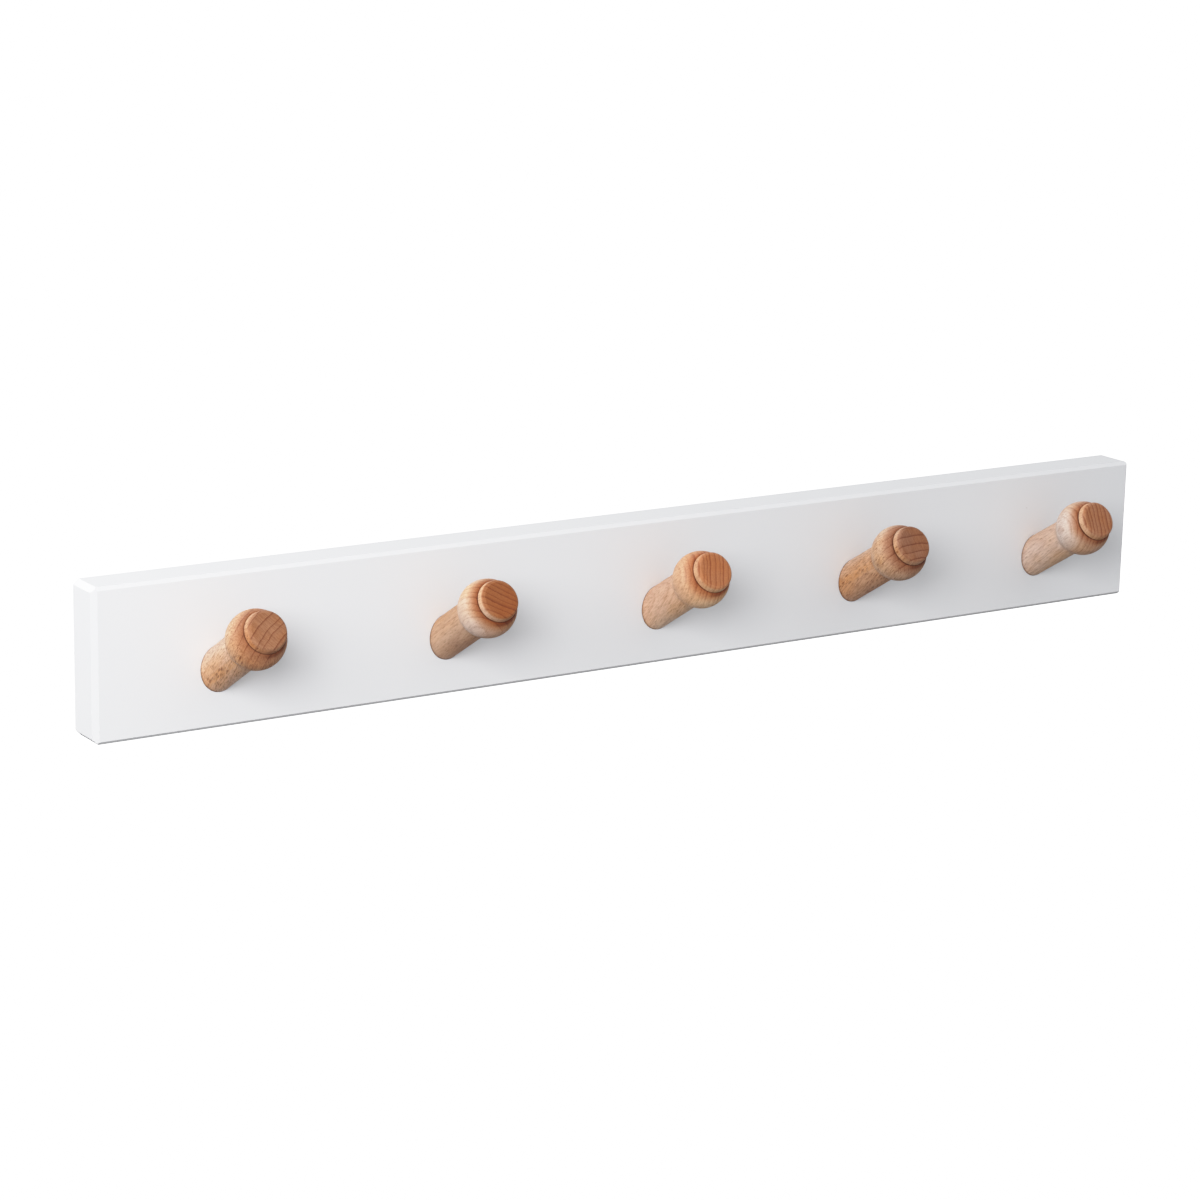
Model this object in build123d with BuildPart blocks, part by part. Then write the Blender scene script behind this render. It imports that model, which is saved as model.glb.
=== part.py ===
from build123d import *
import os
from math import cos, radians, sin, sqrt

# A wall-hung peg rail in millimetres: one painted board, turned beech pegs that lean up and out
# of it, a screw through the board into the back of each peg, and two keyhole hanger plates.
# +X runs along the rail, +Z is up and -Y points into the room. The origin is the centre of the
# wall face, so the board lies between y = -RAIL_THICKNESS and y = 0.

# ---- board ----
RAIL_HEIGHT = 72.5
RAIL_THICKNESS = 20.5
END_MARGIN = 62.0  # last peg's axis to the end of the board
FRONT_BEVEL = 1.6  # along the long front edges
END_BEVEL = 2.5  # round each end, on every edge except those at the wall

# ---- pegs ----
PEG_COUNT = 5
PEG_SPACING = 119.0
PEG_TILT = 31.0  # degrees up from square to the board
PEG_DROP = 8.0  # board's mid-height down to where a peg's axis leaves the front
SHANK_RADIUS = 9.5
BALL_RADIUS = 13.85
BALL_REACH = 42.2  # board's front to the ball's centre, along the axis
NECK_COVE = 4.0  # hollow where the shank runs into the ball
GROOVE_WIDTH = 0.8
GROOVE_DEPTH = 0.9  # measured in from the button's side
GROOVE_LIP = 0.5  # the ball's edge stands out past the button's side by this much
BUTTON_RADIUS = 9.9
BUTTON_HEIGHT = 4.1
BUTTON_TAPER = 0.3  # the button's side leans in by this much
BUTTON_EDGE = 2.0  # rounding of the button's rim
TENON_CHAMFER = 0.8

# ---- the angled seat that holds a peg ----
SEAT_CLEARANCE = 0.1  # glue line round the shank
SEAT_END_GAP = 0.3  # glue pocket behind the tenon
SEAT_WEB = 4.5  # wood left between the seat's floor and the screw head's counterbore

# ---- peg screws: pan head, driven from the wall side along the peg's axis ----
PEG_SCREW_RADIUS = 2.0
PEG_SCREW_LENGTH = 30.0  # under the head
PEG_SCREW_HEAD_RADIUS = 4.0
PEG_SCREW_HEAD_HEIGHT = 2.4
PEG_SCREW_HEAD_ROUND = 0.9
PEG_SCREW_HEAD_SINK = 0.5  # least depth of the head's rim below the wall face
COUNTERBORE_CLEARANCE = 0.5  # round the head

# ---- keyhole hanger plates, let in flush with the wall face ----
HANGER_LENGTH = 50.0
HANGER_WIDTH = 22.0
HANGER_THICKNESS = 2.0
HANGER_RISE = 3.0  # plate's centre above the board's mid-height
HANGER_FIT = 0.15  # clearance round the plate in its recess
KEYHOLE_ENTRY_RADIUS = 5.0
KEYHOLE_SLOT_WIDTH = 5.0
KEYHOLE_TRAVEL = 11.0  # entry's centre up to the slot's round end
POCKET_WIDTH = 12.0  # room behind the plate for a wall screw's head
POCKET_DEPTH = 10.0  # from the wall face

# ---- hanger screws: countersunk at 90 degrees ----
HANGER_SCREW_SPACING = 40.0
HANGER_SCREW_RADIUS = 1.75
HANGER_SCREW_LENGTH = 14.0  # overall
HANGER_SCREW_HEAD_RADIUS = 3.4
HANGER_SCREW_SINK = 0.1  # head's top below the plate's face
COUNTERSINK_CLEARANCE = 0.2
COUNTERSINK_ANGLE = 90.0

# ---- shared by all screws ----
SCREW_HOLE_CLEARANCE = 0.15  # where a screw passes through
PILOT_CLEARANCE = 0.05  # where its thread holds
PILOT_RUNOUT = 0.5  # hole left beyond a screw's point
SCREW_POINT = 1.6  # point's length, in screw radii
RECESS_SPAN = 1.0  # cross recess tip to tip, in screw diameters
RECESS_WIDTH = 0.25  # width of each arm, in screw diameters
RECESS_DEPTH = 0.35  # in screw diameters

# ---- worked out from the above ----
RAIL_LENGTH = (PEG_COUNT - 1) * PEG_SPACING + 2 * END_MARGIN
PEG_POSITIONS = [(i - (PEG_COUNT - 1) / 2) * PEG_SPACING for i in range(PEG_COUNT)]
HANGER_OFFSET = PEG_POSITIONS[-1] - PEG_SPACING / 2
HANGER_SIDES = {"left": -HANGER_OFFSET, "right": HANGER_OFFSET}
HANGER_SCREW_ENDS = {"lower": -HANGER_SCREW_SPACING / 2, "upper": HANGER_SCREW_SPACING / 2}

TILT = radians(PEG_TILT)
PEG_DIRECTION = Vector(0, -cos(TILT), sin(TILT))
SEAT_RADIUS = SHANK_RADIUS + SEAT_CLEARANCE

# Depths below are measured along a peg's axis, back from the board's front.
HEAD_TOP_DEPTH = (RAIL_THICKNESS - PEG_SCREW_HEAD_SINK - PEG_SCREW_HEAD_RADIUS * sin(TILT)) / cos(TILT)
HEAD_SEAT_DEPTH = HEAD_TOP_DEPTH - PEG_SCREW_HEAD_HEIGHT
SEAT_DEPTH = HEAD_SEAT_DEPTH - SEAT_WEB
TENON_DEPTH = SEAT_DEPTH - SEAT_END_GAP
PILOT_DEPTH = TENON_DEPTH + PEG_SCREW_LENGTH - HEAD_SEAT_DEPTH + PILOT_RUNOUT

BALL_END_RADIUS = BUTTON_RADIUS + GROOVE_LIP
BALL_END_REACH = BALL_REACH + sqrt(BALL_RADIUS**2 - BALL_END_RADIUS**2)
COVE_REACH = BALL_REACH - sqrt((BALL_RADIUS + NECK_COVE) ** 2 - (SHANK_RADIUS + NECK_COVE) ** 2)
BUTTON_BASE_REACH = BALL_END_REACH + GROOVE_WIDTH
BUTTON_FACE_REACH = BUTTON_BASE_REACH + BUTTON_HEIGHT


def on_peg_axis(x, reach):
    """Plane across the axis of the peg at x, this far out from the board's front."""
    origin = Vector(x, -RAIL_THICKNESS, -PEG_DROP) + PEG_DIRECTION * reach
    return Plane(origin=origin, x_dir=(1, 0, 0), z_dir=PEG_DIRECTION)


def wall_side(x, z, depth=0.0):
    """Plane facing the wall, as seen from behind, this deep below the wall face."""
    return Plane(origin=(x, -depth, z), x_dir=(-1, 0, 0), z_dir=(0, 1, 0))


def lathe(across):
    """Plane for a turned piece's half outline: x is its radius, y runs along across's normal."""
    return Plane(origin=across.origin, x_dir=across.x_dir, z_dir=across.x_dir.cross(across.z_dir))


def make_rail():
    with BuildPart() as rail:
        Box(RAIL_LENGTH, RAIL_THICKNESS, RAIL_HEIGHT, align=(Align.CENTER, Align.MAX, Align.CENTER))
        end_edges = rail.edges().filter_by(Axis.Y) + rail.edges().filter_by(Axis.Z).group_by(Axis.Y)[0]
        chamfer(end_edges, END_BEVEL)
        front_edges = rail.faces().sort_by(Axis.Y)[0].edges().filter_by(Axis.X)
        chamfer(front_edges, FRONT_BEVEL)

        # a blind seat and a screw hole on each peg's axis
        with Locations([on_peg_axis(x, 0) for x in PEG_POSITIONS]):
            Hole(radius=SEAT_RADIUS, depth=SEAT_DEPTH)
        with Locations([-on_peg_axis(x, -HEAD_TOP_DEPTH) for x in PEG_POSITIONS]):
            CounterBoreHole(
                radius=PEG_SCREW_RADIUS + SCREW_HOLE_CLEARANCE,
                counter_bore_radius=PEG_SCREW_HEAD_RADIUS + COUNTERBORE_CLEARANCE,
                counter_bore_depth=PEG_SCREW_HEAD_HEIGHT,
                depth=HEAD_TOP_DEPTH - SEAT_DEPTH,
            )

        # a shallow recess for each hanger plate and a deeper pocket behind its keyhole
        for x in HANGER_SIDES.values():
            with BuildSketch(wall_side(x, HANGER_RISE)):
                SlotOverall(HANGER_LENGTH + 2 * HANGER_FIT, HANGER_WIDTH + 2 * HANGER_FIT, rotation=90)
            extrude(amount=-HANGER_THICKNESS, mode=Mode.SUBTRACT)
            with BuildSketch(wall_side(x, HANGER_RISE)):
                SlotCenterToCenter(KEYHOLE_TRAVEL, POCKET_WIDTH, rotation=90)
            extrude(amount=-POCKET_DEPTH, mode=Mode.SUBTRACT)
            with Locations([wall_side(x, HANGER_RISE + dz) for dz in HANGER_SCREW_ENDS.values()]):
                Hole(
                    radius=HANGER_SCREW_RADIUS + PILOT_CLEARANCE,
                    depth=HANGER_SCREW_SINK + HANGER_SCREW_LENGTH + PILOT_RUNOUT,
                )
    return rail


def make_peg(x):
    across = on_peg_axis(x, 0)
    cove_centre = Vector(SHANK_RADIUS + NECK_COVE, COVE_REACH)
    ball_centre = Vector(0, BALL_REACH)
    ball_start = ball_centre + (cove_centre - ball_centre).normalized() * BALL_RADIUS
    with BuildPart() as peg:
        with BuildSketch(lathe(across)):
            with BuildLine():
                shank = Polyline(
                    (0, BUTTON_FACE_REACH),
                    (0, -TENON_DEPTH),
                    (SHANK_RADIUS - TENON_CHAMFER, -TENON_DEPTH),
                    (SHANK_RADIUS, TENON_CHAMFER - TENON_DEPTH),
                    (SHANK_RADIUS, COVE_REACH),
                )
                TangentArc(shank @ 1, ball_start, tangent=(0, 1))
                ThreePointArc(ball_start, (BALL_RADIUS, BALL_REACH), (BALL_END_RADIUS, BALL_END_REACH))
                Polyline(
                    (BALL_END_RADIUS, BALL_END_REACH),
                    (BUTTON_RADIUS - GROOVE_DEPTH, BALL_END_REACH + GROOVE_WIDTH / 2),
                    (BUTTON_RADIUS, BUTTON_BASE_REACH),
                    (BUTTON_RADIUS - BUTTON_TAPER, BUTTON_FACE_REACH),
                    (0, BUTTON_FACE_REACH),
                )
            make_face()
        revolve(axis=Axis(across.origin, across.z_dir))
        button_rim = peg.faces().sort_by(Axis(across.origin, across.z_dir))[-1].edges()
        fillet(button_rim, BUTTON_EDGE)
        with Locations(on_peg_axis(x, -TENON_DEPTH)):
            Hole(radius=PEG_SCREW_RADIUS + PILOT_CLEARANCE, depth=PILOT_DEPTH)
    return peg


def make_screw(head_plane, radius, outline):
    """A screw whose head lies on head_plane, turned from outline and given a cross recess."""
    with BuildPart() as screw:
        with BuildSketch(lathe(head_plane)):
            with BuildLine():
                Polyline(*outline, close=True)
            make_face()
        revolve(axis=Axis(head_plane.origin, head_plane.z_dir))
        for turn in (0, 90):
            with Locations(head_plane):
                Box(
                    2 * radius * RECESS_SPAN,
                    2 * radius * RECESS_WIDTH,
                    4 * radius * RECESS_DEPTH,
                    rotation=(0, 0, turn),
                    mode=Mode.SUBTRACT,
                )
    return screw


def make_peg_screw(x):
    head_plane = -on_peg_axis(x, -HEAD_TOP_DEPTH)
    tip = -PEG_SCREW_HEAD_HEIGHT - PEG_SCREW_LENGTH
    outline = [
        (0, 0),
        (PEG_SCREW_HEAD_RADIUS - PEG_SCREW_HEAD_ROUND, 0),
        (PEG_SCREW_HEAD_RADIUS, -PEG_SCREW_HEAD_ROUND),
        (PEG_SCREW_HEAD_RADIUS, -PEG_SCREW_HEAD_HEIGHT),
        (PEG_SCREW_RADIUS, -PEG_SCREW_HEAD_HEIGHT),
        (PEG_SCREW_RADIUS, tip + SCREW_POINT * PEG_SCREW_RADIUS),
        (0, tip),
    ]
    return make_screw(head_plane, PEG_SCREW_RADIUS, outline)


def make_hanger_screw(x, z):
    outline = [
        (0, 0),
        (HANGER_SCREW_HEAD_RADIUS, 0),
        (HANGER_SCREW_RADIUS, HANGER_SCREW_RADIUS - HANGER_SCREW_HEAD_RADIUS),
        (HANGER_SCREW_RADIUS, SCREW_POINT * HANGER_SCREW_RADIUS - HANGER_SCREW_LENGTH),
        (0, -HANGER_SCREW_LENGTH),
    ]
    return make_screw(wall_side(x, z, HANGER_SCREW_SINK), HANGER_SCREW_RADIUS, outline)


def make_hanger_plate(x):
    with BuildPart() as plate:
        with BuildSketch(wall_side(x, HANGER_RISE)):
            SlotOverall(HANGER_LENGTH, HANGER_WIDTH, rotation=90)
            SlotCenterToCenter(KEYHOLE_TRAVEL, KEYHOLE_SLOT_WIDTH, rotation=90, mode=Mode.SUBTRACT)
            with Locations((0, -KEYHOLE_TRAVEL / 2)):
                Circle(KEYHOLE_ENTRY_RADIUS, mode=Mode.SUBTRACT)
        extrude(amount=-HANGER_THICKNESS)
        with Locations([wall_side(x, HANGER_RISE + dz) for dz in HANGER_SCREW_ENDS.values()]):
            CounterSinkHole(
                radius=HANGER_SCREW_RADIUS + SCREW_HOLE_CLEARANCE,
                counter_sink_radius=HANGER_SCREW_HEAD_RADIUS + COUNTERSINK_CLEARANCE,
                depth=HANGER_THICKNESS,
                counter_sink_angle=COUNTERSINK_ANGLE,
            )
    return plate


pieces = {"rail": make_rail()}
for number, x in enumerate(PEG_POSITIONS, start=1):
    pieces[f"peg_{number}"] = make_peg(x)
    pieces[f"peg_screw_{number}"] = make_peg_screw(x)
for side, x in HANGER_SIDES.items():
    pieces[f"hanger_plate_{side}"] = make_hanger_plate(x)
    for end, dz in HANGER_SCREW_ENDS.items():
        pieces[f"hanger_screw_{side}_{end}"] = make_hanger_screw(x, HANGER_RISE + dz)

os.makedirs("parts", exist_ok=True)
for name, piece in pieces.items():
    piece.part.label = name
    export_step(piece.part, f"parts/{name}.step")
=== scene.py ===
from math import atan2, cos, pi, radians, sin, sqrt, tau
from types import SimpleNamespace

import bmesh
import bpy
from mathutils import Matrix, Vector


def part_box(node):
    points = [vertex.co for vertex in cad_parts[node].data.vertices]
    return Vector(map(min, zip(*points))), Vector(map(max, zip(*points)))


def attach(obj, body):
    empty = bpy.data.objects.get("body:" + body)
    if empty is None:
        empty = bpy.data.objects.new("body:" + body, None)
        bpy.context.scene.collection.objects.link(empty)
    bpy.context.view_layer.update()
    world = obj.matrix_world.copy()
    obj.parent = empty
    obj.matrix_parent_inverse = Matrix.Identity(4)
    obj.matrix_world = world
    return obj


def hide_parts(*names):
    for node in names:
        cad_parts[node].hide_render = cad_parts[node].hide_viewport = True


# Looks for a wall-hung peg rail: a white painted board, five turned beech pegs, zinc-plated screws
# and keyhole plates. The row frame is the CAD's: +X along the rail, +Z up, -Y into the room, and
# the origin is the centre of the wall face. Lengths are written in millimetres times MM. Inside a
# material they are plain millimetres, and the studio's lights and floor are in metres.

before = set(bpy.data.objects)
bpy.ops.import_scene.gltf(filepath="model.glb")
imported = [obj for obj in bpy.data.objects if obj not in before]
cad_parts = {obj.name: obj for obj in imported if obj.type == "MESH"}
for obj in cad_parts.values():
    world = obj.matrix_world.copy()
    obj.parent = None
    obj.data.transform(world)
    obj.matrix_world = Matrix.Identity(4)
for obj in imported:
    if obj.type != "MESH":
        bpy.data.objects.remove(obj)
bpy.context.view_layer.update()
MM = 0.001

# ---- camera, as the photograph has it ----
CAMERA_PLACE = Vector((-906.6, -1368.6, 402.6)) * MM
CAMERA_TURN = (75.911, -1.168, -32.623)  # degrees about x, y and z
CAMERA_LENS = 102.83
CAMERA_SENSOR = 36.0

# ---- the pegs and their seats, as in the CAD ----
PEG_TILT = radians(31.0)
PEG_DROP = 8.0 * MM
SHANK_RADIUS = 9.5 * MM
BALL_RADIUS = 13.85 * MM
BALL_REACH = 42.2 * MM
NECK_COVE = 4.0 * MM
GROOVE_WIDTH = 0.8 * MM
GROOVE_DEPTH = 0.9 * MM
GROOVE_LIP = 0.5 * MM
BUTTON_RADIUS = 9.9 * MM
BUTTON_HEIGHT = 4.1 * MM
BUTTON_TAPER = 0.3 * MM
BUTTON_EDGE = 2.0 * MM
TENON_DEPTH = 13.73 * MM
TENON_CHAMFER = 0.8 * MM
PILOT_RADIUS = 2.05 * MM
PILOT_REACH = 11.97 * MM

# ---- what the CAD leaves sharp ----
GROOVE_FLOOR_ROUND = 0.12 * MM
GROOVE_EDGE_ROUND = 0.25 * MM  # worn off the groove's two edges
ARRIS_ROUND = 0.45 * MM  # sanded off the board's edges

# ---- worked out from the frame and the above ----
RAIL_LOW, RAIL_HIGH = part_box("rail")
RAIL_FRONT = RAIL_LOW.y
RAIL_LENGTH = RAIL_HIGH.x - RAIL_LOW.x
PEG_COUNT = sum(name.startswith("peg_") and "screw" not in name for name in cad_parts)
PEG_AXIS = Vector((0.0, -cos(PEG_TILT), sin(PEG_TILT)))
FACE_RIGHT = Vector((1.0, 0.0, 0.0))
FACE_UP = PEG_AXIS.cross(FACE_RIGHT)
LOWER_RIGHT = (FACE_RIGHT - FACE_UP).normalized()
BALL_END_RADIUS = BUTTON_RADIUS + GROOVE_LIP
BALL_END_REACH = BALL_REACH + sqrt(BALL_RADIUS ** 2 - BALL_END_RADIUS ** 2)
BUTTON_BASE_REACH = BALL_END_REACH + GROOVE_WIDTH

# ---- fineness of the peg meshes and shading ----
PEG_SIDES = 128
SHANK_STEPS = 8
BALL_STEPS = 48
SHARP_ANGLE = radians(50.0)


# ================================ node building ================================

class Tree:
    """A node tree with short calls: an input is either a socket to link or a value to set."""

    def __init__(self, owner):
        owner.use_nodes = True
        self.tree = owner.node_tree
        self.tree.nodes.clear()

    def put(self, kind, inputs=None, **settings):
        node = self.tree.nodes.new(kind)
        for key, value in settings.items():
            setattr(node, key, value)
        for key, value in (inputs or {}).items():
            if isinstance(value, bpy.types.NodeSocket):
                self.tree.links.new(value, node.inputs[key])
            else:
                node.inputs[key].default_value = value
        return node

    def math(self, operation, a, b=0.0, c=0.0):
        return self.put("ShaderNodeMath", {0: a, 1: b, 2: c}, operation=operation).outputs[0]

    def times(self, first, *others):
        """The product of all its arguments."""
        for other in others:
            first = self.math("MULTIPLY", first, other)
        return first

    def plus_share(self, total, part, share):
        """Total plus share times part."""
        return self.math("MULTIPLY_ADD", part, share, total)

    def smooth(self, value, low, high):
        """0 below low, 1 above high and a smooth step between; high may be the lower one."""
        ends = {"Value": value, 1: low, 2: high}
        return self.put("ShaderNodeMapRange", ends, interpolation_type="SMOOTHSTEP").outputs[0]

    def span(self, value, low, high):
        """Turns 0..1 into low..high."""
        return self.put("ShaderNodeMapRange", {"Value": value, 3: low, 4: high}).outputs[0]

    def mix(self, factor, a, b, blend="MIX"):
        node = self.put("ShaderNodeMix", {0: factor, 6: a, 7: b}, data_type="RGBA", blend_type=blend)
        return node.outputs[2]

    def tint(self, colour, tint, share):
        """Multiplies a colour by a tint, fully where share is 1."""
        return self.mix(share, colour, tint, "MULTIPLY")

    def axes(self, vector):
        return self.put("ShaderNodeSeparateXYZ", {0: vector}).outputs

    def vector_math(self, operation, a, b, c=(0.0, 0.0, 0.0)):
        return self.put("ShaderNodeVectorMath", {0: a, 1: b, 2: c}, operation=operation).outputs[0]

    def stretch(self, vector, x, y, z):
        return self.vector_math("MULTIPLY", vector, (x, y, z))

    def toward(self, vector, way):
        """How far a vector reaches along way, from -1 to 1 where both are of length 1."""
        dot = self.put("ShaderNodeVectorMath", {0: vector, 1: way}, operation="DOT_PRODUCT")
        return dot.outputs["Value"]

    def facing(self, normal, way):
        """1 where a surface looks along way or straight back, 0 where it is edge on."""
        return self.math("ABSOLUTE", self.toward(normal, way))

    def noise(self, vector, scale=1.0, detail=2.0, roughness=0.5):
        values = {"Vector": vector, "Scale": scale, "Detail": detail, "Roughness": roughness}
        return self.put("ShaderNodeTexNoise", values).outputs[0]

    def voronoi(self, vector, scale=1.0):
        return self.put("ShaderNodeTexVoronoi", {"Vector": vector, "Scale": scale}).outputs

    def streaks(self, vector, cells, low, high, detail=2.0, roughness=0.6):
        """1 in streaks, with so many cells to the mm on each axis, 0 in the wood between them."""
        noise = self.noise(self.stretch(vector, *cells), detail=detail, roughness=roughness)
        return self.smooth(noise, low, high)

    def blobs(self, vector, cells, radius, rarity):
        """1 inside a round blob in some of the cells: the higher rarity, the fewer."""
        found = self.voronoi(self.stretch(vector, *cells))
        lucky = self.put("ShaderNodeSeparateColor", {0: found["Color"]}).outputs[0]
        inside = self.smooth(found["Distance"], radius * 1.3, radius * 0.8)
        return self.times(inside, self.smooth(lucky, rarity, rarity + 0.1))

    def ramp(self, value, stops):
        """A grey for each value, straight between the stops (value, grey)."""
        node = self.put("ShaderNodeValToRGB", {0: value})
        points = node.color_ramp.elements
        while len(points) < len(stops):
            points.new(1.0)
        for point, (place, shade) in zip(points, stops):
            point.position = place
            point.color = (shade, shade, shade, 1.0)
        return node.outputs[0]

    def bump(self, height, distance, strength):
        values = {"Height": height, "Distance": distance, "Strength": strength}
        return self.put("ShaderNodeBump", values).outputs[0]


def make_material(name):
    material = bpy.data.materials.new(name)
    return material, Tree(material)


def finish_material(tree, **inputs):
    named = {key.replace("_", " "): value for key, value in inputs.items()}
    shader = tree.put("ShaderNodeBsdfPrincipled", named)
    tree.put("ShaderNodeOutputMaterial", {"Surface": shader.outputs[0]})


def millimetres(tree):
    """Object coordinates in millimetres."""
    place = tree.put("ShaderNodeTexCoord").outputs["Object"]
    return tree.stretch(place, 1 / MM, 1 / MM, 1 / MM)


def opaque(colour):
    return (*colour, 1.0)


# ================================ paint and zinc ================================

PAINT = (0.797, 0.802, 0.820, 1.0)
PAINT_SHADE = (0.782, 0.788, 0.808, 1.0)
PAINT_DUST = (0.42, 0.40, 0.39, 1.0)
RAW_PALE = (0.66, 0.47, 0.29, 1.0)
RAW_DARK = (0.47, 0.29, 0.15, 1.0)
# what lies nearer to the board's outside than this, in mm, is painted, even on its bevels
EDGE_SKIN = 3.0
FRONT_SKIN = 0.4
WALL_SKIN = 0.15
# cells to the mm along the board, through it and up
PAINT_GRAIN = (0.03, 0.9, 0.9)
RAW_STREAKS = (0.02, 0.5, 0.5)
ZINC_SCRATCHES = (6.0, 6.0, 0.5)


def inside_board(tree, place):
    """1 on the walls of holes and recesses, whose wood was cut after painting."""
    axes = tree.axes(place)
    half_length = RAIL_LENGTH / 2 / MM - EDGE_SKIN
    half_height = RAIL_HIGH.z / MM - EDGE_SKIN
    within = tree.math("LESS_THAN", tree.math("ABSOLUTE", axes[0]), half_length)
    level = tree.math("LESS_THAN", tree.math("ABSOLUTE", axes[2]), half_height)
    behind = tree.math("GREATER_THAN", axes[1], RAIL_FRONT / MM + FRONT_SKIN)
    before = tree.math("LESS_THAN", axes[1], -WALL_SKIN)
    return tree.times(within, level, behind, before)


def white_paint():
    """Sprayed satin paint over sanded wood: faint grain, faint orange peel and a few specks of dirt."""
    material, tree = make_material("white_paint")
    place = millimetres(tree)
    clouds = tree.noise(place, scale=0.012, detail=3.0)
    peel = tree.noise(place, scale=1.1)
    grain = tree.noise(tree.stretch(place, *PAINT_GRAIN), detail=3.0, roughness=0.6)
    speck = tree.smooth(tree.voronoi(place, scale=0.045)["Distance"], 0.022, 0.010)
    white = tree.mix(tree.smooth(clouds, 0.35, 0.65), PAINT, PAINT_SHADE)
    white = tree.mix(tree.times(speck, 0.35), white, PAINT_DUST)
    raw_streaks = tree.noise(tree.stretch(place, *RAW_STREAKS), detail=4.0, roughness=0.6)
    cut = inside_board(tree, place)
    height = tree.plus_share(tree.times(peel, 0.25), grain, 0.75)
    height = tree.plus_share(height, speck, 1.2)
    finish_material(
        tree,
        Base_Color=tree.mix(cut, white, tree.mix(raw_streaks, RAW_PALE, RAW_DARK)),
        Roughness=tree.plus_share(tree.span(clouds, 0.40, 0.48), cut, 0.3),
        Normal=tree.bump(height, 0.02 * MM, 0.5),
    )
    return material


def zinc(name, shade, rough):
    """Bright zinc plating: a faint crystal mottle, fine scratches and a little dulling."""
    material, tree = make_material(name)
    place = millimetres(tree)
    mottle = tree.voronoi(place, scale=0.9)["Color"]
    patch = tree.noise(place, scale=0.25, detail=3.0)
    scratch = tree.noise(tree.stretch(place, *ZINC_SCRATCHES), detail=3.0, roughness=0.7)
    bright = (shade, shade * 1.01, shade * 1.03, 1.0)
    dull = (shade * 0.78, shade * 0.79, shade * 0.80, 1.0)
    colour = tree.mix(tree.smooth(patch, 0.35, 0.7), bright, dull)
    colour = tree.mix(0.07, colour, mottle, "OVERLAY")
    finish_material(
        tree,
        Base_Color=colour,
        Metallic=1.0,
        Roughness=tree.span(scratch, rough, rough + 0.22),
        Normal=tree.bump(scratch, 0.01 * MM, 0.5),
    )
    return material


# ================================ beech ================================

# What sets one peg's blank apart:
#   turn: how the rings run across the button, in degrees from level
#   spacing, curve: the rings' distance and their bending radius in mm; below 0 they bend the other way
#   late, depth: the late wood's share of a ring and how dark it is
#   rays, flecks, fibres, orange: how strongly they show, and how orange the wood is
#   slope: how far the grain leans off the peg's axis
#   shank_drift, ball_drift: painted shade, how much darker each grows to its lower right, away from the
#       lights; below 0, darker to its upper left instead
#   lip: how many mm of the ball, counted from the groove, are darkened with painted shade
#   sides, knob, band, ends: tints of its long sides, of the ball and the button on top of that, of
#   the button's side on top of both, and of its end grain
#   seed: where in the timber it was cut
BLANKS = [
    SimpleNamespace(
        turn=219.0, spacing=3.9, curve=70.0, late=0.10, depth=1.0,
        rays=1.0, flecks=1.0, fibres=1.15, orange=0.30,
        slope=0.25, shank_drift=0.5, ball_drift=1.0, lip=14.0,
        sides=(1.17, 1.28, 1.40), knob=(0.84, 0.79, 0.69), band=(0.88, 0.69, 0.54), ends=(0.86, 0.94, 1.03),
        seed=3.1,
    ),
    SimpleNamespace(
        turn=-35.0, spacing=2.4, curve=90.0, late=0.18, depth=0.75,
        rays=0.2, flecks=0.35, fibres=0.6, orange=0.30,
        slope=0.05, shank_drift=1.0, ball_drift=1.0, lip=3.0,
        sides=(0.88, 0.90, 0.89), knob=(1.14, 1.33, 1.63), band=(0.98, 0.82, 0.65), ends=(0.77, 0.60, 0.39),
        seed=11.7,
    ),
    SimpleNamespace(
        turn=78.0, spacing=2.3, curve=120.0, late=0.18, depth=0.80,
        rays=0.2, flecks=0.50, fibres=0.8, orange=0.60,
        slope=0.20, shank_drift=-0.8, ball_drift=-1.0, lip=4.0,
        sides=(1.21, 1.42, 1.65), knob=(0.98, 0.97, 0.89), band=(0.95, 0.86, 0.76), ends=(1.12, 1.05, 0.96),
        seed=23.9,
    ),
    SimpleNamespace(
        turn=7.0, spacing=3.9, curve=-80.0, late=0.10, depth=0.95,
        rays=1.0, flecks=1.0, fibres=1.15, orange=0.30,
        slope=0.22, shank_drift=1.0, ball_drift=0.8, lip=7.0,
        sides=(0.95, 0.93, 0.88), knob=(0.95, 1.03, 1.11), band=(0.97, 0.86, 0.76), ends=(0.77, 0.82, 0.98),
        seed=37.3,
    ),
    SimpleNamespace(
        turn=87.0, spacing=2.3, curve=100.0, late=0.22, depth=0.80,
        rays=0.3, flecks=0.45, fibres=0.7, orange=0.25,
        slope=0.10, shank_drift=-0.3, ball_drift=0.8, lip=3.5,
        sides=(1.08, 1.28, 1.56), knob=(0.89, 0.90, 0.90), band=(1.06, 0.83, 0.59), ends=(0.99, 1.03, 1.12),
        seed=51.1,
    ),
]

BEECH_TAN = (0.74, 0.465, 0.305, 1.0)
BEECH_CREAM = (0.80, 0.60, 0.47, 1.0)
BEECH_ORANGE = (0.72, 0.395, 0.205, 1.0)
# what these leave of the wood's own colour
END_TINT = (0.56, 0.385, 0.275, 1.0)  # end grain, which soaks up the oil
LATE_TINT = (0.56, 0.38, 0.30, 1.0)
FIBRE_TINT = (0.62, 0.50, 0.42, 1.0)
FLECK_TINT = (0.44, 0.29, 0.20, 1.0)
GOLD_TINT = (1.0, 0.91, 0.74, 1.0)
# painted shade on the pegs' lower right, and a darker upper left where a drift is below 0
SHADE_AND_TONE_TINT = (0.80, 0.62, 0.50, 1.0)
# painted shade on the ball beside the groove
LIP_SHADE_TINT = (0.86, 0.71, 0.60, 1.0)
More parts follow.
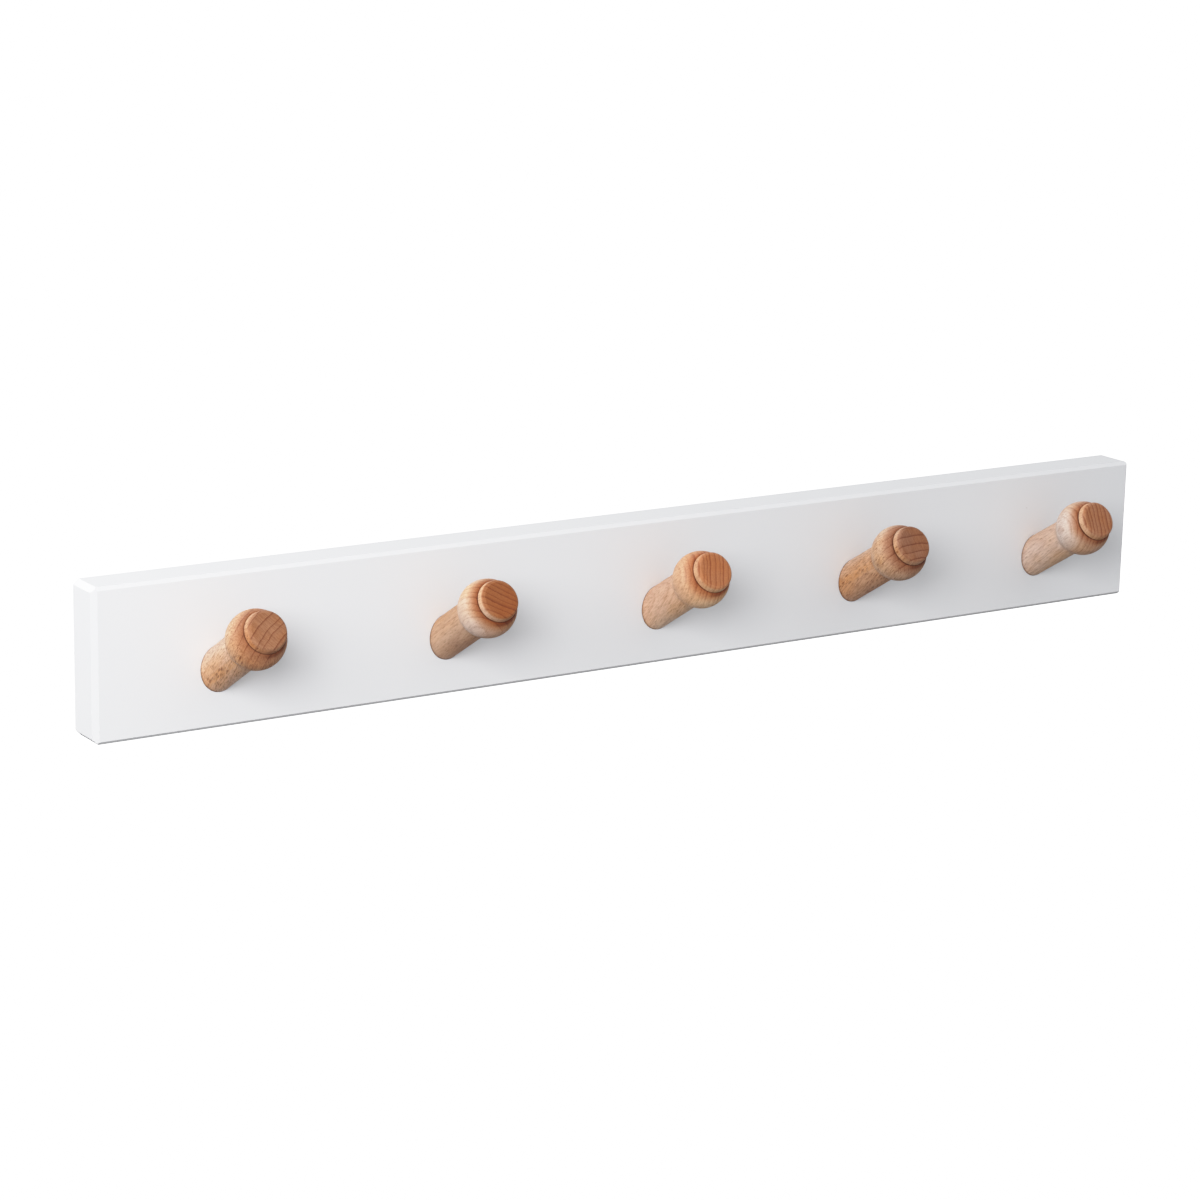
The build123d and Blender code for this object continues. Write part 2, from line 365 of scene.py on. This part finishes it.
# painted shadow of the button on the ball's lower right
BUTTON_SHADOW_TINT = (0.60, 0.46, 0.38, 1.0)
# painted shade in the groove and at the shank's foot, with the dark line of the joint there
CREASE_SHADE_TINT = (0.40, 0.30, 0.24, 1.0)
SHEEN_TINT = (1.0, 0.96, 0.93, 1.0)

# how wide, in mm, the painted shadow under the button and the painted shade at the shank's foot lie
BUTTON_SHADOW_WIDTH = 1.9
FOOT_SHADE_WIDTH = 1.5
# how far waves and ripples push the rings, in mm
WAVE_DEPTH = 2.0
RIPPLE_DEPTH = 0.45
RING_LEAN = 0.035  # mm across for each mm along the grain
LATE_END = 0.97  # of the way through a ring

# cells to the mm across the rings, along them and along the grain
WAVES = (0.10, 0.10, 0.022)
RIPPLES = (0.6, 0.6, 0.08)
CLOUDS = (0.09, 0.09, 0.04)
HATCHES = (0.12, 2.0, 0.25)
SPOTS = (0.70, 0.30, 0.21)
DASHES = (1.30, 1.30, 0.22)
FINE_FIBRES = (1.5, 1.5, 0.16)
BROAD_FIBRES = (0.9, 0.9, 0.06)
FLAKES = (0.25, 1.0, 0.30)
PORES = (5.0, 5.0, 0.6)


def lay_blank(tree, foot, blank):
    """Where the surface lies in the peg's wood, in mm: across the rings (the way `across`), along
    them (the way `along`) and out along the peg's axis.
    axes: the same, one by one
    grain: the same with the grain's slope off the peg's axis taken in
    timber: grain, at the blank's own place in the timber
    low: 0 at the peg's upper left, 1 at its lower right
    scene_y: the scene's own y, in metres"""
    along = FACE_RIGHT * cos(radians(blank.turn)) + FACE_UP * sin(radians(blank.turn))
    across = along.cross(PEG_AXIS)
    place = tree.put("ShaderNodeTexCoord").outputs["Object"]
    inside = tree.put("ShaderNodeMapping", {
        "Vector": place, "Location": foot, "Scale": (MM, MM, MM),
        "Rotation": Matrix((across, along, PEG_AXIS)).transposed().to_euler(),
    }, vector_type="TEXTURE").outputs[0]
    axes = tree.axes(inside)
    lower_right = Vector((LOWER_RIGHT.dot(across), LOWER_RIGHT.dot(along), 0.0))
    grain = tree.vector_math("MULTIPLY_ADD", axes[2], lower_right * blank.slope, inside)
    shank = SHANK_RADIUS / MM
    return SimpleNamespace(
        across=across, along=along, axes=axes, grain=grain,
        timber=tree.vector_math("ADD", grain, (blank.seed, blank.seed * 1.7, blank.seed * 2.3)),
        low=tree.smooth(tree.toward(inside, lower_right), -shank, shank),
        scene_y=tree.axes(place)[1],
    )


def read_cut(tree, wood):
    """Which way the surface cuts the wood and which part of the peg it is on, each as 0 to 1:
    on end grain, on a long side, on its bark or quarter side (quarter as a narrow stripe, and
    near_quarter as a wide one), on the ball or button, and on the button."""
    normal = tree.put("ShaderNodeNewGeometry").outputs["Normal"]
    reach = wood.axes[2]
    on_button = tree.math("GREATER_THAN", reach, BUTTON_BASE_REACH / MM)
    ball_start = BALL_REACH - BALL_RADIUS
    ball_full = BALL_REACH - 0.3 * BALL_RADIUS

    # slopes count as end grain up to 0.85, sooner on the button's rim, and only flat faces wholly
    square = tree.toward(normal, PEG_AXIS)
    slope_start = tree.span(on_button, 0.22, 0.06)
    slanted = tree.times(tree.smooth(square, slope_start, 0.76), 0.85)
    end = tree.math("MAXIMUM", slanted, tree.smooth(square, 0.92, 0.985))
    side = tree.math("SUBTRACT", 1.0, end)
    quarter = tree.facing(normal, wood.along)
    return SimpleNamespace(
        end=end, side=side, on_button=on_button,
        on_knob=tree.smooth(reach, ball_start / MM, ball_full / MM),
        bark=tree.times(tree.smooth(tree.facing(normal, wood.across), 0.45, 1.0), side),
        quarter=tree.times(tree.smooth(quarter, 0.965, 0.995), side),
        near_quarter=tree.smooth(quarter, 0.92, 0.98),
    )


def growth_rings(tree, wood, blank):
    """Nearly flat sheets, gently curved and wavy, that lean along the grain: 1 in late wood."""
    axes = tree.axes(wood.grain)
    wave = tree.noise(tree.stretch(wood.timber, *WAVES))
    ripple = tree.noise(tree.stretch(wood.timber, *RIPPLES))
    ring = tree.plus_share(axes[0], tree.math("POWER", axes[1], 2.0), 0.5 / blank.curve)
    ring = tree.plus_share(ring, axes[2], RING_LEAN)
    ring = tree.plus_share(ring, wave, WAVE_DEPTH)
    ring = tree.plus_share(ring, ripple, RIPPLE_DEPTH)
    count = tree.math("MULTIPLY_ADD", ring, 1 / blank.spacing, blank.seed)
    years = {"W": count, "Scale": 0.55, "Detail": 1.0}
    uneven = tree.put("ShaderNodeTexNoise", years, noise_dimensions="1D").outputs[0]
    phase = tree.math("FRACT", tree.plus_share(count, uneven, 0.9))
    return tree.ramp(phase, [
        (0.0, 0.20),
        (0.02, 0.0),
        (0.12, 0.03),
        (LATE_END - blank.late * 2, 0.16),
        (LATE_END - blank.late, 0.50),
        (LATE_END - blank.late * 0.4, 1.0),
        (LATE_END + 0.005, 1.0),
        (1.0, 0.20),
    ])


def draw_figure(tree, wood, cut, blank):
    """The wood's patterns, each as 0 to 1. Rays are thin upright sheets across the rings: they hatch
    the end grain, dot the sides with short dark dashes and lie open as golden flakes on the
    quarter side."""
    timber = wood.timber
    spots = tree.times(tree.blobs(timber, SPOTS, radius=0.31, rarity=0.40), cut.near_quarter, blank.rays)
    dashes = tree.times(tree.blobs(timber, DASHES, radius=0.30, rarity=0.38), 0.75)
    return SimpleNamespace(
        late=growth_rings(tree, wood, blank),
        hatch=tree.streaks(timber, HATCHES, 0.46, 0.58),
        fine=tree.streaks(timber, FINE_FIBRES, 0.45, 0.60, detail=3.0, roughness=0.7),
        broad=tree.streaks(timber, BROAD_FIBRES, 0.42, 0.64),
        flakes=tree.streaks(timber, FLAKES, 0.44, 0.58),
        cloud=tree.streaks(timber, CLOUDS, 0.36, 0.66, roughness=0.5),
        pores=tree.noise(tree.stretch(timber, *PORES), roughness=0.6),
        marks=tree.times(tree.math("MAXIMUM", spots, dashes), cut.side),
    )


def shade_and_tone_drift(tree, wood, cut, blank):
    """Painted shade: how far the shank and the ball are darkened towards the lower right, away from the
    lights; where a blank's drift is below 0, towards the upper left instead.
    """
    drifts = (blank.shank_drift, blank.ball_drift)
    shank, ball = [tree.span(wood.low, max(0.0, -drift), max(0.0, drift)) for drift in drifts]
    here = tree.plus_share(shank, tree.math("SUBTRACT", ball, shank), cut.on_knob)
    return tree.times(here, cut.side)


def wood_colour(tree, wood, cut, figure, blank):
    """Wood between tan and orange, creamier towards the bark, with the blank's own tints and painted shade
    to the lower right.
    """
    colour = tree.mix(figure.cloud, BEECH_TAN, BEECH_ORANGE)
    colour = tree.mix(blank.orange * 0.6, colour, BEECH_ORANGE)
    colour = tree.mix(tree.times(cut.bark, tree.span(cut.on_knob, 0.38, 0.60)), colour, BEECH_CREAM)
    colour = tree.tint(colour, tree.mix(cut.end, opaque(blank.sides), opaque(blank.ends)), 1.0)
    colour = tree.tint(colour, opaque(blank.knob), tree.times(cut.on_knob, cut.side))
    # painted shade to the lower right where the drift is above 0
    colour = tree.tint(colour, SHADE_AND_TONE_TINT, shade_and_tone_drift(tree, wood, cut, blank))
    colour = tree.tint(colour, opaque(blank.band), tree.times(cut.on_button, cut.side))
    return tree.tint(colour, END_TINT, cut.end)


def figured(tree, colour, cut, figure, blank):
    """The colour with the wood's patterns in it, which show more or less on end grain."""
    def shown(pattern, on_side, on_end):
        return tree.times(pattern, tree.span(cut.end, on_side, on_end))

    gold = tree.times(cut.quarter, tree.span(figure.flakes, 0.4 * blank.rays, blank.rays))
    for tint, share in (
        (GOLD_TINT, gold),
        (LATE_TINT, shown(figure.late, on_side=0.36 * blank.depth, on_end=1.1 * blank.depth)),
        (FIBRE_TINT, shown(figure.fine, on_side=0.55 * blank.fibres, on_end=0.25)),
        (FIBRE_TINT, shown(figure.broad, on_side=0.14 * blank.fibres, on_end=0.1)),
        (FIBRE_TINT, shown(figure.hatch, on_side=0.08 * blank.rays, on_end=0.45 * blank.rays)),
        (FLECK_TINT, tree.times(figure.marks, 0.25 + 0.55 * blank.flecks)),
        (FLECK_TINT, tree.times(tree.smooth(figure.pores, 0.55, 0.75), 0.2)),
    ):
        colour = tree.tint(colour, tint, share)
    return colour


def groove_side_shade(tree, reach, lip):
    """Painted shade: 1 at the ball's edge beside the groove, fading out over lip mm of the ball."""
    near = tree.smooth(reach, BALL_END_REACH / MM - lip, BALL_END_REACH / MM)
    return tree.times(near, tree.math("LESS_THAN", reach, (BALL_END_REACH + GROOVE_WIDTH * 0.3) / MM))


def button_shadow(tree, reach, low):
    """Painted shadow of the button: 1 on the ball's lower right beside the groove, the side turned from the
    lights.
    """
    near = tree.smooth(reach, BALL_END_REACH / MM - BUTTON_SHADOW_WIDTH, (BALL_END_REACH - GROOVE_LIP) / MM)
    below_button = tree.math("LESS_THAN", reach, BUTTON_BASE_REACH / MM)
    return tree.times(near, below_button, tree.smooth(low, 0.78, 1.0))


def groove_shade(tree, axes):
    """Painted shade: 1 at the bottom of the groove beside the button."""
    squares = [tree.math("POWER", axes[i], 2.0) for i in (0, 1)]
    off_axis = tree.math("SQRT", tree.math("ADD", *squares))
    deep = tree.smooth(off_axis, BALL_END_RADIUS / MM, (BUTTON_RADIUS - GROOVE_DEPTH * 0.5) / MM)
    off_floor = tree.math("SUBTRACT", axes[2], (BALL_END_REACH + GROOVE_WIDTH / 2) / MM)
    near = tree.smooth(tree.math("ABSOLUTE", off_floor), GROOVE_WIDTH / MM, GROOVE_WIDTH * 0.3 / MM)
    return tree.times(deep, near)


def foot_joint_shade(tree, scene_y):
    """Nearly 1 in the corner where the shank leaves the board: painted shade in that corner, over the dark
    line of the joint.
    """
    return tree.times(tree.smooth(scene_y, RAIL_FRONT - FOOT_SHADE_WIDTH * MM, RAIL_FRONT), 0.85)


def painted_shade(tree, colour, wood, blank):
    """The colour with painted shade beside the groove, below the button, in the groove and at the shank's
    foot.
    """
    reach = wood.axes[2]
    crease_shade = tree.math("MAXIMUM", groove_shade(tree, wood.axes), foot_joint_shade(tree, wood.scene_y))
    colour = tree.tint(colour, LIP_SHADE_TINT, groove_side_shade(tree, reach, blank.lip))
    colour = tree.tint(colour, BUTTON_SHADOW_TINT, button_shadow(tree, reach, wood.low))
    return tree.tint(colour, CREASE_SHADE_TINT, crease_shade)


def beech(name, foot, blank):
    """Oiled beech cut from a solid 3-D blank, so rings, rays and pores meet on every surface."""
    material, tree = make_material(name)
    wood = lay_blank(tree, foot, blank)
    cut = read_cut(tree, wood)
    figure = draw_figure(tree, wood, cut, blank)
    colour = wood_colour(tree, wood, cut, figure, blank)
    colour = figured(tree, colour, cut, figure, blank)

    # late wood stands proud of the surface, and fibres, pores and marks are sunk in it
    height = tree.times(tree.math("ADD", figure.fine, figure.pores), -0.4)
    height = tree.plus_share(height, figure.late, 0.25)
    height = tree.plus_share(height, figure.marks, -0.4)
    finish_material(
        tree,
        Base_Color=painted_shade(tree, colour, wood, blank),
        Roughness=tree.span(figure.fine, 0.60, 0.74),
        Specular_IOR_Level=0.22,
        Sheen_Weight=0.08,
        Sheen_Roughness=0.60,
        Sheen_Tint=SHEEN_TINT,
        Normal=tree.bump(height, 0.10 * MM, 0.8),
    )
    return material


# ================================ meshes ================================

def add_mesh(name, mesh_data, material):
    """A finished piece from a bmesh, on the one body."""
    mesh = bpy.data.meshes.new(name)
    bmesh.ops.recalc_face_normals(mesh_data, faces=mesh_data.faces)
    mesh_data.to_mesh(mesh)
    mesh_data.free()
    mesh.materials.append(material)
    piece = bpy.data.objects.new(name, mesh)
    bpy.context.scene.collection.objects.link(piece)
    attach(piece, "root")
    return piece


def arc(centre, radius, start, end, steps):
    """Points (radius from the axis, reach along it) on a circle, from angle start to end."""
    angles = [start + (end - start) * i / steps for i in range(steps + 1)]
    return [(centre[0] + radius * cos(a), centre[1] + radius * sin(a)) for a in angles]


def turned(mesh_data, outline, base, axis, across):
    """Spins an outline round an axis. Points on the axis become single vertices."""
    aside = axis.cross(across)
    turns = [tau * i / PEG_SIDES for i in range(PEG_SIDES)]
    spokes = [across * cos(turn) + aside * sin(turn) for turn in turns]
    rings = []
    for radius, reach in outline:
        centre = base + axis * reach
        ring_spokes = spokes if radius > 0.0 else [Vector()]
        rings.append([mesh_data.verts.new(centre + spoke * radius) for spoke in ring_spokes])
    for lower, upper in zip(rings, rings[1:]):
        for i in range(PEG_SIDES):
            j = (i + 1) % PEG_SIDES
            corners = [ring[k % len(ring)] for ring, k in ((lower, i), (lower, j), (upper, j), (upper, i))]
            mesh_data.faces.new(list(dict.fromkeys(corners)))


def tenon_outline():
    """From the bottom of the screw hole to where the shank leaves the board."""
    return [
        (0.0, PILOT_REACH),
        (PILOT_RADIUS, PILOT_REACH),
        (PILOT_RADIUS, -TENON_DEPTH),
        (SHANK_RADIUS - TENON_CHAMFER, -TENON_DEPTH),
        (SHANK_RADIUS, TENON_CHAMFER - TENON_DEPTH),
    ]


def ball_outline():
    """Shank, hollow and ball, up to the ball's worn edge beside the groove."""
    cove_radius = SHANK_RADIUS + NECK_COVE
    cove_reach = BALL_REACH - sqrt((BALL_RADIUS + NECK_COVE) ** 2 - cove_radius ** 2)
    neck_angle = atan2(cove_reach - BALL_REACH, cove_radius)
    end_angle = atan2(BALL_END_REACH - BALL_REACH, BALL_END_RADIUS) - GROOVE_EDGE_ROUND / BALL_RADIUS
    outline = [(SHANK_RADIUS, cove_reach * i / SHANK_STEPS) for i in range(SHANK_STEPS)]
    outline += arc((cove_radius, cove_reach), NECK_COVE, pi, pi + neck_angle, steps=10)
    outline += arc((0.0, BALL_REACH), BALL_RADIUS, neck_angle, end_angle, steps=BALL_STEPS)[1:]
    outline.append((BALL_END_RADIUS - GROOVE_EDGE_ROUND * 0.25, BALL_END_REACH - GROOVE_EDGE_ROUND * 0.15))
    outline.append((BALL_END_RADIUS - GROOVE_EDGE_ROUND, BALL_END_REACH + GROOVE_EDGE_ROUND * 0.15))
    return outline


def button_outline():
    """The groove's floor and the button, in to the middle of its face."""
    face_reach = BUTTON_BASE_REACH + BUTTON_HEIGHT
    floor_centre = (BUTTON_RADIUS - GROOVE_DEPTH + GROOVE_FLOOR_ROUND, BALL_END_REACH + GROOVE_WIDTH / 2)
    base_centre = (BUTTON_RADIUS - GROOVE_EDGE_ROUND, BUTTON_BASE_REACH + GROOVE_EDGE_ROUND)
    flat_radius = BUTTON_RADIUS - BUTTON_TAPER - BUTTON_EDGE
    outline = arc(floor_centre, GROOVE_FLOOR_ROUND, pi * 1.2, pi * 0.8, steps=3)
    outline += arc(base_centre, GROOVE_EDGE_ROUND, -pi * 0.3, 0.0, steps=4)
    outline += arc((flat_radius, face_reach - BUTTON_EDGE), BUTTON_EDGE, 0.0, pi / 2, steps=12)
    for share in (0.8, 0.6, 0.4, 0.2, 0.0):
        outline.append((flat_radius * share, face_reach))
    return outline


def make_pegs():
    """Five turned pegs in place of the CAD's, each with its own piece of wood."""
    outline = tenon_outline() + ball_outline() + button_outline()
    for number in range(1, PEG_COUNT + 1):
        low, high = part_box(f"peg_{number}")
        foot = Vector(((low.x + high.x) / 2, RAIL_FRONT, -PEG_DROP))
        mesh_data = bmesh.new()
        turned(mesh_data, outline, foot, PEG_AXIS, FACE_RIGHT)
        material = beech(f"beech_{number}", foot, BLANKS[number - 1])
        peg = add_mesh(f"turned_peg_{number}", mesh_data, material)
        peg.data.shade_smooth()
        peg.data.set_sharp_from_angle(angle=SHARP_ANGLE)
        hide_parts(f"peg_{number}")


def dress_cad():
    """Finishes for the CAD nodes that stay."""
    paint = white_paint()
    plate = zinc("zinc_plate", shade=0.66, rough=0.30)
    screw = zinc("zinc_screw", shade=0.74, rough=0.20)
    for name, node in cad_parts.items():
        if node.hide_render:
            continue
        finish, slot_name = paint, "white_paint"
        if name.startswith("hanger_plate"):
            finish, slot_name = plate, "zinc_plate"
        elif "screw" in name:
            finish, slot_name = screw, "zinc_screw"
        node.data.materials.clear()
        node.data.materials.append(finish)


def soften_board():
    """The painted board's arrises, sanded round."""
    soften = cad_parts["rail"].modifiers.new("soft_arrises", "BEVEL")
    soften.width = ARRIS_ROUND
    soften.segments = 3
    soften.limit_method = "ANGLE"
    soften.angle_limit = radians(25.0)
    soften.use_clamp_overlap = False
    soften.harden_normals = True


# ================================ studio ================================

# the tone curve: light above SHOULDER is squeezed so that only BRIGHTEST reaches full white
SHOULDER = 0.6
BRIGHTEST = 2.0
TONE_STEPS = 40
WHITE = (1.0, 1.0, 1.0, 1.0)
DOME_COLOUR = (0.985, 0.992, 1.0, 1.0)
# brightness of the studio's dome towards the left, the front, the wall side and above
DOME = (((-1, 0, 0), 0.075), ((0, -1, 0), 0.566), ((0, 1, 0), 0.467), ((0, 0, 1), 0.763))
# the ways from the board to the two lights in front of it
KEY_WAY = Vector((-0.62, -0.70, 0.35)).normalized()
SIDE_WAY = Vector((-0.80, -0.50, 0.33)).normalized()
# the floor is wide, and lower than the camera gets when it looks up at the rail from below
FLOOR_RADIUS = 4.0
FLOOR_DROP = 1.2 * CAMERA_PLACE.length


def make_tone():
    """A soft shoulder keeps the board's brightest bevels off pure white."""
    view = bpy.context.scene.view_settings
    view.view_transform = "Standard"
    view.use_curve_mapping = True
    curves = view.curve_mapping
    curves.white_level = (BRIGHTEST, BRIGHTEST, BRIGHTEST)
    curves.extend = "HORIZONTAL"
    power = (BRIGHTEST - SHOULDER) / (1.0 - SHOULDER)
    for step in range(1, TONE_STEPS):
        light = BRIGHTEST * step / TONE_STEPS
        share = max(0.0, light - SHOULDER) / (BRIGHTEST - SHOULDER)
        shown = min(light, SHOULDER) + (1.0 - SHOULDER) * (1.0 - (1.0 - share) ** power)
        curves.curves[3].points.new(step / TONE_STEPS, shown)
    curves.update()


def make_camera():
    camera = bpy.data.objects.new("camera", bpy.data.cameras.new("camera"))
    bpy.context.scene.collection.objects.link(camera)
    camera.location = CAMERA_PLACE
    camera.rotation_euler = [radians(angle) for angle in CAMERA_TURN]
    camera.data.sensor_width = CAMERA_SENSOR
    camera.data.lens = CAMERA_LENS
    camera.data.clip_start = 0.05
    camera.data.clip_end = 60.0
    bpy.context.scene.camera = camera


def make_world():
    """White to the camera, and to everything else a dome of light that differs by direction."""
    world = bpy.data.worlds.new("studio")
    bpy.context.scene.world = world
    tree = Tree(world)
    way = tree.put("ShaderNodeTexCoord").outputs["Generated"]
    strength = 0.0
    for side, power in DOME:
        strength = tree.plus_share(strength, tree.math("MAXIMUM", tree.toward(way, side), 0.0), power)
    dome = tree.put("ShaderNodeBackground", {"Color": DOME_COLOUR, "Strength": strength}).outputs[0]
    white = tree.put("ShaderNodeBackground", {"Color": WHITE, "Strength": BRIGHTEST}).outputs[0]
    seen = tree.put("ShaderNodeLightPath").outputs["Is Camera Ray"]
    both = tree.put("ShaderNodeMixShader", {0: seen, 1: dome, 2: white}).outputs[0]
    tree.put("ShaderNodeOutputWorld", {"Surface": both})


def soft_light(name, place, size, power):
    """A square area light that shines at the middle of the board's back."""
    lamp = bpy.data.lights.new(name, "AREA")
    lamp.shape = "SQUARE"
    lamp.size = size
    lamp.energy = power
    light = bpy.data.objects.new(name, lamp)
    bpy.context.scene.collection.objects.link(light)
    light.location = place
    light.rotation_euler = (-place).to_track_quat("-Z", "Y").to_euler()
    light.visible_camera = False


def make_lights():
    soft_light("key", KEY_WAY * 1.5, size=0.5, power=10.2)
    soft_light("side", SIDE_WAY * 0.9, size=0.3, power=1.8)
    soft_light("rear", Vector((-0.8, 0.6, 0.4)), size=0.7, power=6.3)


def make_floor():
    """A pale studio floor under the rail, which hangs free of it."""
    material, tree = make_material("floor")
    glow = tree.put("ShaderNodeEmission", {"Color": WHITE, "Strength": BRIGHTEST})
    tree.put("ShaderNodeOutputMaterial", {"Surface": glow.outputs[0]})
    mesh_data = bmesh.new()
    bmesh.ops.create_circle(mesh_data, cap_ends=True, radius=FLOOR_RADIUS, segments=96)
    mesh = bpy.data.meshes.new("floor")
    mesh_data.to_mesh(mesh)
    mesh_data.free()
    mesh.materials.append(material)
    floor = bpy.data.objects.new("floor", mesh)
    bpy.context.scene.collection.objects.link(floor)
    floor.location.z = -FLOOR_DROP
    floor.visible_diffuse = False
    floor.visible_glossy = False
    floor.visible_shadow = False


def make_scene():
    make_tone()
    make_camera()
    make_world()
    make_lights()
    make_floor()
    make_pegs()
    dress_cad()
    soften_board()


make_scene()
